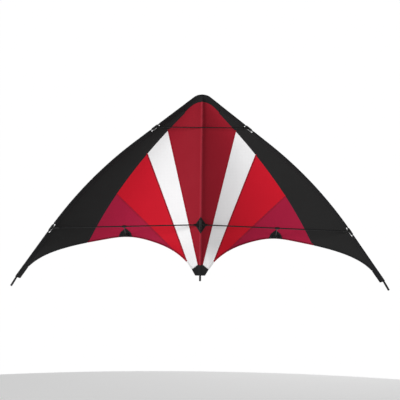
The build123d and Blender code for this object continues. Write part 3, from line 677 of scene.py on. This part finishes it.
def tape(title, line, half_width, thickness, look, shift=0.0):
    """A tape along a line on each wing, moved sideways by shift (left of the line's way is positive)."""
    line = resample(line, max(6, round(length_of(line) / TAPE_STEP) + 1))
    tangent = np.gradient(line, axis=0)
    tangent /= np.linalg.norm(tangent, axis=1, keepdims=True)
    left = np.stack([-tangent[:, 1], tangent[:, 0]], 1)
    section = TAPE_PROFILE + [(a, -h) for a, h in reversed(TAPE_PROFILE)]
    across = np.array([a * half_width for a, _ in section])
    uv = np.stack(np.meshgrid(np.linspace(0, length_of(line), len(line)), across, indexing="ij"), -1)
    for name, side in SIDES:
        rings = sail_point(line[:, None] + left[:, None] * (shift + across)[:, None], side)
        rings[..., 1] -= np.array([h for _, h in section]) * thickness / 2
        on_wing(loft(f"{title}_{name}", rings, uv, LOOK[look], 60), name)


def make_seams():
    """A tape over each seam between two panels, at a side of one of them."""
    seams = {
        "white_inner_seam": ("white", 2, 0, SEAM_HALF_WIDTH, "red_tape", "dark_red_ripstop"),
        "white_outer_seam": ("white", 3, WHITE_SEAM_GAP, SEAM_HALF_WIDTH, "red_tape", "bright_red_ripstop"),
        "crimson_seam": ("crimson", 2, CRIMSON_SEAM_GAP, SEAM_HALF_WIDTH, "crimson_tape", "crimson_ripstop"),
        "black_seam": ("black", 2, 0, BLACK_SEAM_HALF_WIDTH, "black_tape", "black_ripstop"),
    }
    for title, (kind, side, gap, half_width, look, slot) in seams.items():
        tape(title, trimmed(PANEL[kind][side], gap), half_width, SEAM_THICKNESS, look)


def make_hems():
    """The folded edge along the bottom of each panel but the centre one."""
    black = PANEL["black"][0]
    hems = {
        "white": stretch(front_outline("white_panel_right"), TAIL_SHOULDER, WHITE_OUTER_BOTTOM),
        "bright": trimmed(PANEL["bright"][0], BRIGHT_HEM_GAP),
        "crimson": PANEL["crimson"][0],
        "black": black[: int(black[:, 1].argmin()) + 1],
    }
    for kind, line in hems.items():
        title = f"{kind}_hem"
        tape(title, line, HEM_HALF_WIDTH, HEM_THICKNESS, title, HEM_INSET)


def make_notch_bindings():
    """The edge of the sail inside each notch is bound with a folded tape that stands a little proud."""
    for part, height in NOTCH_HEIGHTS.items():
        along = np.linspace(-0.5, 0.5, BINDING_POINTS) * (NOTCH_LENGTH + BINDING_LAP)
        points, sweep = rod_axis(axis_distance(height) + along)
        line = points + inward(sweep) * (NOTCH_DEPTH - AXIS_INSET)
        tape(f"{part}_notch_binding", line, BINDING_HALF_WIDTH, SEAM_THICKNESS, "black_tape",
             BINDING_PROUD - BINDING_HALF_WIDTH)


# ---- leading edge sleeve
SLEEVE_R = 3.05 * MM
SLEEVE_TAIL = 11 * MM  # from the rod's axis to the sleeve's sewn edge
SLEEVE_FLAT = [(1.0, 0.55 * MM), (0.8, 0.62 * MM), (0.6, 0.75 * MM)]  # share of the tail, half thickness
SLEEVE_ARC_POINTS, SLEEVE_ARC_V, SLEEVE_STEP = 15, 4 * MM, 4 * MM
SLEEVE_LAP = 1.1 * MM  # how far the lower sleeve runs into the wing tip pocket


def sleeve_section(points, sweep, side):
    """The sleeve's section at each point of the rod's axis: round the rod, then flat to its sewn edge."""
    n_in = inward(sweep)

    def flat(share, front):
        at = points + n_in * (SLEEVE_TAIL * share)
        y = sail_point(at, side)[:, 1] * share - front
        return np.stack([side * at[:, 0], y, at[:, 1]], 1)

    tail_y = sail_point(points + n_in * SLEEVE_TAIL, side)[:, 1]
    lean = np.arctan2(tail_y, SLEEVE_TAIL)
    touch = np.arccos(np.clip(SLEEVE_R / np.hypot(tail_y, SLEEVE_TAIL), -1, 1))
    start, end = lean - touch, lean - 2 * math.pi + touch  # from the front tangent round the outside
    rings = [flat(share, thick) for share, thick in SLEEVE_FLAT]
    across = [share * SLEEVE_TAIL for share, _ in SLEEVE_FLAT]
    for a in np.linspace(0, 1, SLEEVE_ARC_POINTS):
        angle = start + (end - start) * a
        at = points + n_in * (SLEEVE_R * np.cos(angle))[:, None]
        rings.append(np.stack([side * at[:, 0], SLEEVE_R * np.sin(angle), at[:, 1]], 1))
        across.append(SLEEVE_ARC_V * (1 - 2 * a))
    rings += [flat(share, -thick) for share, thick in reversed(SLEEVE_FLAT)]
    across += [-share * SLEEVE_TAIL for share, _ in reversed(SLEEVE_FLAT)]
    return np.stack(rings, 1), np.array(across)


def make_sleeves():
    for part in ("upper", "middle", "lower"):
        top_sweep = LOWER_SWEEP if part == "lower" else UPPER_SWEEP
        foot_sweep = UPPER_SWEEP if part == "upper" else LOWER_SWEEP
        for name, side in SIDES:
            node = f"leading_edge_sleeve_{part}_{name}"
            low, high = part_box(node)
            top = axis_distance(high.z - AXIS_INSET * math.cos(top_sweep))
            foot = axis_distance(low.z + AXIS_INSET * math.cos(foot_sweep))
            if part == "lower":
                foot += SLEEVE_LAP
            s = np.linspace(top, foot, max(8, round((foot - top) / SLEEVE_STEP)))
            rings, across = sleeve_section(*rod_axis(s), side)
            uv = np.stack(np.meshgrid(s - s[0], across, indexing="ij"), -1)
            piece = loft(f"leading_edge_sleeve_{part}_cloth_{name}", rings, uv, LOOK["sleeve"])
            on_wing(piece, name)
            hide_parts(node)


# ---- nose
NOSE_R, NOSE_SWELL, NOSE_SWELL_REACH = 3.45 * MM, 1.4 * MM, 7 * MM  # round the rods, and more at the middle
NOSE_OVER_SPINE = 5 * MM  # the least half thickness at the middle, where the spine's end is inside
NOSE_SEWN = 0.6 * MM  # half the thickness at the sewn edge
NOSE_LAP = 0.9 * MM  # over the panels
NOSE_POINTS, NOSE_ROUND_POINTS, NOSE_FLAT_POINTS = 40, 7, 8


def nose_edges():
    """The band's inner and outer edges on the right wing, from the middle of the nose outwards."""
    loop = front_outline("nose_half_right")
    start = loop[loop[:, 0] < SPINE_SIDE + 0.2 * CLOSE]
    end = loop[loop[:, 0] > NOSE_HALF_END - CLOSE]
    inner = stretch(loop, start[start[:, 1].argmin()], end[end[:, 1].argmin()])
    outer = stretch(loop, start[start[:, 1].argmax()], FLANK, end[end[:, 1].argmax()])
    inner = resample(np.concatenate([[[0, inner[0, 1] + NOSE_SEWN]], inner]), NOSE_POINTS)
    outer = resample(np.concatenate([[[0, NOSE_TOP]], outer]), NOSE_POINTS)
    inner += NOSE_LAP * (inner - outer) / np.linalg.norm(inner - outer, axis=1, keepdims=True)
    return inner, outer


def nose_ring(inner, outer, side):
    """The band's section between a point of its outer and one of its inner edge: (points, uv)."""
    x = (outer[0] + inner[0]) / 2
    swell = math.exp(-((x / NOSE_SWELL_REACH) ** 2))
    r = NOSE_R + NOSE_SWELL * swell
    width = np.linalg.norm(outer - inner)
    inner_y = float(billow(*inner))
    on_rod = r * (1 - np.cos(np.linspace(0, math.pi / 2, NOSE_ROUND_POINTS)))
    depths = np.concatenate([on_rod, np.linspace(r, width, NOSE_FLAT_POINTS + 1)[1:]])
    points, uv = [], []
    for way, order in ((-1, depths[::-1]), (1, depths)):
        for depth in order:
            t = max(0, (depth - r) / (width - r))
            if depth < r:
                h = math.sqrt(depth * (2 * r - depth))
            else:
                ease = smooth(t)
                thinned = ease * 1.6 if ease < 0.5 else 0.6 + ease * 0.4
                h = max(r + (NOSE_SEWN - r) * thinned, NOSE_OVER_SPINE * swell)
            at = outer + (inner - outer) * (depth / width)
            points.append((side * at[0], inner_y * t + way * h, at[1]))
            uv.append((x, depth * way))
    return points, uv


def make_nose():
    """A band of webbing folded over the leading edge from the middle of the nose to the sleeves."""
    edges = nose_edges()
    for name, side in SIDES:
        rings, uvs = zip(*(nose_ring(inner, outer, side) for inner, outer in zip(*edges)))
        piece = loft(f"nose_webbing_{name}", np.array(rings), np.array(uvs), LOOK["webbing"])
        across_spine(piece)
        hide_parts(f"nose_half_{name}")


# ---- spine sleeve
SPINE_SLEEVE_LAP = 1.6 * MM  # how far the lower sleeve runs into the tail pocket
SPINE_SLEEVE_BORE = 0.7  # the inside's share of the outside
SPINE_SLEEVE_POINTS, SPINE_SLEEVE_STEP = 28, 3 * MM
SPINE_PUCKER, SPINE_PUCKER_LENGTH = 0.12 * MM, 2.1 * MM
SPINE_BULGE, SPINE_BULGE_LENGTH = 0.1 * MM, 17 * MM


def make_spine_sleeve():
    around = np.linspace(0, 2 * math.pi, SPINE_SLEEVE_POINTS, endpoint=False)
    for part in ("upper", "lower"):
        node = f"spine_sleeve_{part}"
        low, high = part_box(node)
        foot = low.z - SPINE_SLEEVE_LAP if part == "lower" else low.z
        levels = np.linspace(foot, high.z, max(10, round((high.z - foot) / SPINE_SLEEVE_STEP)))
        z, turn = np.meshgrid(levels, around, indexing="ij")
        angle = turn - math.pi / 2
        pucker = SPINE_PUCKER * np.sin(z / SPINE_PUCKER_LENGTH) * np.cos(angle * 2)
        r = SPINE_SLEEVE_R + pucker + SPINE_BULGE * np.sin(z / SPINE_BULGE_LENGTH)
        rings = np.stack([r * np.cos(angle), r * np.sin(angle), z], -1)
        uv = np.stack([z, turn * SPINE_SLEEVE_R], -1)
        piece = tube_with_bore(f"{node}_cloth", rings, uv, SPINE_SLEEVE_BORE, LOOK["spine_sleeve"])
        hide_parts(node)
        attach(piece, "spine")


def tube_with_bore(name, rings, uv, inner_share, material):
    """A tube whose inside is its outside shrunk towards each ring's middle, closed at both ends."""
    middle = rings.mean(axis=1, keepdims=True)
    inside = middle + (rings - middle) * inner_share
    count, around = rings.shape[:2]
    n, ring = count * around, np.arange(around)
    faces = skin(count, around) + skin(count, around, n) + wall(ring, n) + wall(n - around + ring, n)
    return new_piece(name, np.stack([rings, inside]), faces, np.stack([uv, uv]), material, 50)


# ---- pockets
POCKET_CORNER_R, POCKET_CORNER_POINTS = 2.5 * MM, 5
POCKET_LAYERS, POCKET_RIM, POCKET_POINTS = 9, 1.5 * MM, 96
POCKET_MIDDLE = 0.02  # the innermost layer's share of the outline
POCKET_BULGE = 2.1 * MM  # added to half the thickness over the rod
TAIL_FLAT, TAIL_BULGE_WIDTH = 1.3 * MM, 4.2 * MM
TIP_FLAT, TIP_BULGE_WIDTH = 1.2 * MM, 3.6 * MM
TAIL_LAP, TAIL_SHOULDER_OUT, TAIL_BOTTOM_IN = 0.9 * MM, 0.3 * MM, 0.6 * MM  # against the CAD's corners
NECK_R, NECK_DRAWN_IN, NECK_GATHERS, NECK_GATHER = 3.4 * MM, 0.5 * MM, 9, 0.045
NECK_POINTS, NECK_RINGS, NECK_GAP = 48, 9, 0.1 * MM  # the gap is from the mouth to the rod's cap
TAIL_NECK_IN, TIP_NECK_LENGTH = 2 * MM, 7 * MM


def bulge(off, width):
    return POCKET_BULGE * np.exp(-((off / width) ** 2))


def rounded_outline(corners):
    """The outline of a polygon with rounded corners, as (x, z) points."""
    out = []
    for k, p in enumerate(corners):
        a, b = corners[k - 1] - p, corners[(k + 1) % len(corners)] - p
        a, b = a / np.linalg.norm(a), b / np.linalg.norm(b)
        cut = POCKET_CORNER_R / math.tan(math.acos(float(a @ b)) / 2)
        for t in np.linspace(0, 1, POCKET_CORNER_POINTS):
            out.append((1 - t) ** 2 * (p + a * cut) + 2 * t * (1 - t) * p + t * t * (p + b * cut))
    return np.array(out)


def pocket(name, corners, half_height, material, side=1):
    """A flat pocket with rounded rims. half_height gives half its thickness inside the rim at points."""
    line = rounded_outline(np.array(corners))
    line = resample(np.concatenate([line, line[:1]]), POCKET_POINTS + 1)[:-1]
    centre = line.mean(0)
    shares = 1 - np.linspace(0, 1, POCKET_LAYERS) ** 1.5 * (1 - POCKET_MIDDLE)
    layers = []
    for way, order in ((-1, shares[::-1]), (1, shares)):
        for share in order:
            points = centre + (line - centre) * share
            inset = (1 - share) * np.linalg.norm(line - centre, axis=1)
            rim = np.sqrt(np.clip(inset / POCKET_RIM, 0, 1))
            h = half_height(points) * (0.25 + 0.75 * rim)
            layers.append(np.stack([side * points[:, 0], way * h, points[:, 1]], 1))
    layers = np.array(layers)
    return loft(name, layers, layers[..., [0, 2]], material, 60)


def half_of(whole, name, side):
    """A copy of one side of a piece, cut and closed at the spine's plane."""
    half = linked(name, whole.data.copy())
    half.data.name = name
    bm = bmesh.new()
    bm.from_mesh(half.data)
    near = 0.05 * MM
    everything = bm.verts[:] + bm.edges[:] + bm.faces[:]
    bmesh.ops.bisect_plane(bm, geom=everything, dist=near, plane_co=(0, 0, 0), plane_no=(side, 0, 0),
                           clear_inner=True)
    for vert in bm.verts:
        if abs(vert.co.x) < near:
            vert.co.x = 0
    bmesh.ops.remove_doubles(bm, verts=bm.verts, dist=near / 2)
    rim = [edge for edge in bm.edges if edge.is_boundary]
    closing = bmesh.ops.edgeloop_fill(bm, edges=rim)["faces"]
    bmesh.ops.recalc_face_normals(bm, faces=bm.faces)
    for part in rim + closing:
        part.smooth = False
    bm.to_mesh(half.data)
    bm.free()
    return half


def neck(name, top, way, length):
    """The mouth of a pocket, drawn in round its rod in small gathers."""
    around = np.linspace(0, 2 * math.pi, NECK_POINTS, endpoint=False)
    t, angle = np.meshgrid(np.linspace(0, 1, NECK_RINGS), around, indexing="ij")
    r = (NECK_R - NECK_DRAWN_IN * t * t) * (1 + NECK_GATHER * np.sin(NECK_GATHERS * angle))
    along, off = length * t, r * np.cos(angle)
    x = top[0] + way[0] * along + way[1] * off
    z = top[1] + way[1] * along - way[0] * off
    rings, uv = np.stack([x, r * np.sin(angle), z], -1), np.stack([along, angle * NECK_R], -1)
    return loft(name, rings, uv, LOOK["webbing"])


def make_tail_pocket():
    right = [TAIL_NECK + (0, TAIL_LAP), TAIL_SHOULDER + (TAIL_SHOULDER_OUT, TAIL_LAP),
             TAIL_BOTTOM - (TAIL_BOTTOM_IN, 0)]
    corners = right + [corner * (-1, 1) for corner in reversed(right)]

    def over_spine(points):
        return TAIL_FLAT + bulge(points[:, 0], TAIL_BULGE_WIDTH)

    whole = pocket("tail_pocket_webbing", corners, over_spine, LOOK["tail"])
    for name, side in SIDES:
        half = half_of(whole, f"tail_pocket_webbing_{name}", side)
        across_spine(half)
        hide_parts("tail_pocket")
    bpy.data.objects.remove(whole)
    mouth = np.array([0, TAIL_BOTTOM[1] + TAIL_NECK_IN])
    tail_neck = neck("tail_pocket_neck", mouth, np.array([0, -1]), mouth[1] - TAIL_CAP_TOP - NECK_GAP)
    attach(tail_neck, "spine")


def make_tip_pockets():
    d, n_in = down(LOWER_SWEEP), inward(LOWER_SWEEP)
    inner = TIP + n_in * TIP_POCKET_WIDTH
    corners = [TIP - d * TIP_POCKET_LENGTH, TIP, inner - d * TIP_POCKET_SLANT, inner - d * TIP_POCKET_LENGTH]
    way = down(TIP_ROD_SWEEP)
    bend = TIP + n_in * AXIS_INSET - d * TIP_BEND_DEPTH
    mouth = bend + way * (TIP_ROD_LENGTH - TIP_CAP_DEPTH - NECK_GAP - TIP_NECK_LENGTH)

    def over_rod(points):
        past_bend = np.maximum((points - TIP) @ d + TIP_BEND_DEPTH, 0)
        axis = AXIS_INSET + past_bend * math.tan(TIP_ROD_SWEEP - LOWER_SWEEP)
        return TIP_FLAT + bulge((points - TIP) @ n_in - axis, TIP_BULGE_WIDTH)

    for name, side in SIDES:
        tip = pocket(f"wing_tip_webbing_{name}", corners, over_rod, LOOK["tip"], side)
        on_wing(tip, name)
        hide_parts(f"wing_tip_pocket_{name}")
        tip_neck = neck(f"wing_tip_neck_{name}", mouth * (side, 1), way * (side, 1), TIP_NECK_LENGTH)
        on_wing(tip_neck, name)


# ---- patches
PATCH_THICKNESS, PATCH_LIFT, PATCH_CELL = 0.7 * MM, 0.9 * MM, 1.5 * MM
BACK_THICKNESS, BACK_LIFT = 0.6 * MM, -0.8 * MM
DIAMOND_ROWS, DIAMOND_COLUMNS = 41, 15
DIAMOND_POINT = 0.001  # what is left of the width at its two points
DIAMOND_BEHIND, DIAMOND_BEHIND_WIDTH = 6.8 * MM, 6.5 * MM  # where it runs behind the centre cross
HUB_MIDDLE, HUB_HALF_HEIGHT, HUB_EASE = 1.5 * MM, 13 * MM, 5 * MM
OVER_SLEEVE_R, OVER_SLEEVE_EASE = 5.1 * MM, 3 * MM  # round the spine's sleeve, above and below the hub


def sewn_uv(outline):
    """For a grid of (x, z): how far round the rim the nearest rim point is, and how far away it is."""
    rim = rim_of(outline)
    away = np.linalg.norm(outline[:, :, None] - rim, axis=-1)
    return np.stack([distances(rim)[away.argmin(-1)], away.min(-1)], -1)


def make_standoff_patches():
    """A patch on the front and one on the back of the sail, where the stand-off pushes on it."""
    loop = front_outline("standoff_patch_right")
    low_left, low_right = loop[loop[:, 0].argmin()], loop[loop[:, 0].argmax()]
    ways = [(low_left, STANDOFF, low_right), (STANDOFF_PATCH_TOP,),
            (low_left, STANDOFF_PATCH_TOP), (low_right, STANDOFF_PATCH_TOP)]
    outline = patchwork(*(stretch(loop, *way) for way in ways), PATCH_CELL)
    sewn = sewn_uv(outline)
    for name, side in SIDES:
        front = sail_point(outline, side, PATCH_LIFT)
        piece = sheet_piece(f"standoff_patch_cloth_{name}", front, sewn, PATCH_THICKNESS, LOOK["patch"])
        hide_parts(f"standoff_patch_{name}")
        rear = sail_point(outline, side, BACK_LIFT)
        back = sheet_piece(f"standoff_patch_back_{name}", rear, sewn, BACK_THICKNESS, LOOK["patch"])
        for patch in (piece, back):
            on_wing(patch, name)
            stretched(front)


def diamond_depth(x, z, on_sail):
    """The y of the diamond: behind the centre cross, over the spine's sleeve, or on the sail."""
    in_hub = 1 - np.clip((abs(z - HUB_MIDDLE) - HUB_HALF_HEIGHT) / HUB_EASE, 0, 1)
    near = np.exp(-((x / DIAMOND_BEHIND_WIDTH) ** 4))
    round_sleeve = -np.sqrt(np.clip(OVER_SLEEVE_R**2 - x**2, 0, None))
    beside = on_sail * np.clip((x - OVER_SLEEVE_R) / OVER_SLEEVE_EASE, 0, 1)
    over = np.where(x < OVER_SLEEVE_R, round_sleeve, beside)
    return in_hub * (near * DIAMOND_BEHIND + (1 - near) * on_sail) + (1 - in_hub) * over


def make_diamond():
    """The patch round the centre cross, in two halves, which lies on the sail beside the spine."""
    v, u = np.meshgrid(np.linspace(-1, 1, DIAMOND_ROWS), np.linspace(0, 1, DIAMOND_COLUMNS), indexing="ij")
    x = u * DIAMOND_HALF_WIDTH * np.maximum(1 - np.abs(v), DIAMOND_POINT)
    z = v * DIAMOND_HALF_HEIGHT
    slope = math.hypot(1 / DIAMOND_HALF_WIDTH, 1 / DIAMOND_HALF_HEIGHT)
    inset = (1 - x / DIAMOND_HALF_WIDTH - np.abs(v)) / slope
    sewn = np.stack([z * 1.2, inset], -1)
    for name, side in SIDES:
        on_sail = sail_point(np.stack([x, z], -1), side, PATCH_LIFT)[..., 1]
        grid = np.stack([side * x, diamond_depth(x, z, on_sail), z], -1)
        piece = sheet_piece(f"centre_patch_cloth_{name}", grid, sewn, PATCH_THICKNESS, LOOK["patch"])
        across_spine(piece)
        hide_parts(f"centre_patch_{name}")
        stretched(grid)


make_panels()
make_seams()
make_hems()
make_notch_bindings()
make_sleeves()
make_nose()
make_spine_sleeve()
make_tail_pocket()
make_tip_pockets()
make_standoff_patches()
make_diamond()


# ---- stage, light and camera
FLOOR_R, FLOOR_Z, DOME_R = 2.1, -0.75, 14
LIT_POINT = (0, 0, 0.1)
# Each light: (place, size, power)
LIGHTS = {
    "key": ((-4.2, -3.2, 0.7), 1.8, 238),
    "cross": ((4.4, -2.8, -0.35), 1.8, 86),
    "rear_fill": ((1.5, 4.5, 1.8), 3.0, 90),
}
SKY_STRENGTH = 0.1
CAMERA_DISTANCE = 5.0
VIEW_WIDTH = 1.375  # what the picture spans at the kite
VIEW_CENTRE = (-0.0035, 0.0865)  # x and z at the picture's middle
ROLL = math.radians(-0.7)


def plain(name, colour, emission):
    """A matt finish that also glows this strongly in white."""
    material = bpy.data.materials.new(name)
    material.use_nodes = True
    sockets = material.node_tree.nodes["Principled BSDF"].inputs
    sockets["Base Color"].default_value = (*colour, 1)
    sockets["Roughness"].default_value = 0.9
    sockets["Emission Color"].default_value = (1, 1, 1, 1)
    sockets["Emission Strength"].default_value = emission
    return material


def make_stage():
    """A paper floor, and a white dome that only the camera sees."""
    bpy.ops.mesh.primitive_circle_add(vertices=96, radius=FLOOR_R, fill_type="NGON", location=(0, 0, FLOOR_Z))
    floor = bpy.context.object
    floor.name = "floor"
    floor.data.materials.append(plain("floor_paper", (0.9, 0.9, 0.9), 0.2))
    bpy.ops.mesh.primitive_uv_sphere_add(segments=48, ring_count=24, radius=DOME_R)
    dome = bpy.context.object
    dome.name = "backdrop"
    dome.data.materials.append(plain("backdrop_paper", (0, 0, 0), 1.0))
    for ray in ("diffuse", "glossy", "transmission", "shadow", "volume_scatter"):
        setattr(dome, f"visible_{ray}", False)


def make_lights():
    for name, (where, size, power) in LIGHTS.items():
        light = bpy.data.lights.new(name, "AREA")
        light.shape, light.size, light.energy = "DISK", size, power
        obj = linked(name, light)
        obj.location = where
        obj.rotation_mode = "QUATERNION"
        obj.rotation_quaternion = (Vector(LIT_POINT) - Vector(where)).to_track_quat("-Z", "Y")
    world = bpy.data.worlds.new("soft_studio")
    bpy.context.scene.world = world
    world.use_nodes = True
    sky = world.node_tree.nodes["Background"].inputs
    sky["Color"].default_value = (1, 1, 1, 1)
    sky["Strength"].default_value = SKY_STRENGTH


def make_camera():
    camera = bpy.data.cameras.new("camera")
    camera.sensor_width = 36
    camera.lens = camera.sensor_width * CAMERA_DISTANCE / VIEW_WIDTH
    camera.clip_start, camera.clip_end = 0.1, 60
    obj = linked("camera", camera)
    obj.location = (VIEW_CENTRE[0], -CAMERA_DISTANCE, VIEW_CENTRE[1])
    obj.rotation_euler = (math.pi / 2, ROLL, 0)
    bpy.context.scene.camera = obj


make_camera()
make_lights()
make_stage()
bpy.context.scene.view_settings.view_transform = "Standard"
bpy.context.scene.view_settings.look = "None"

bpy.context.view_layer.update()
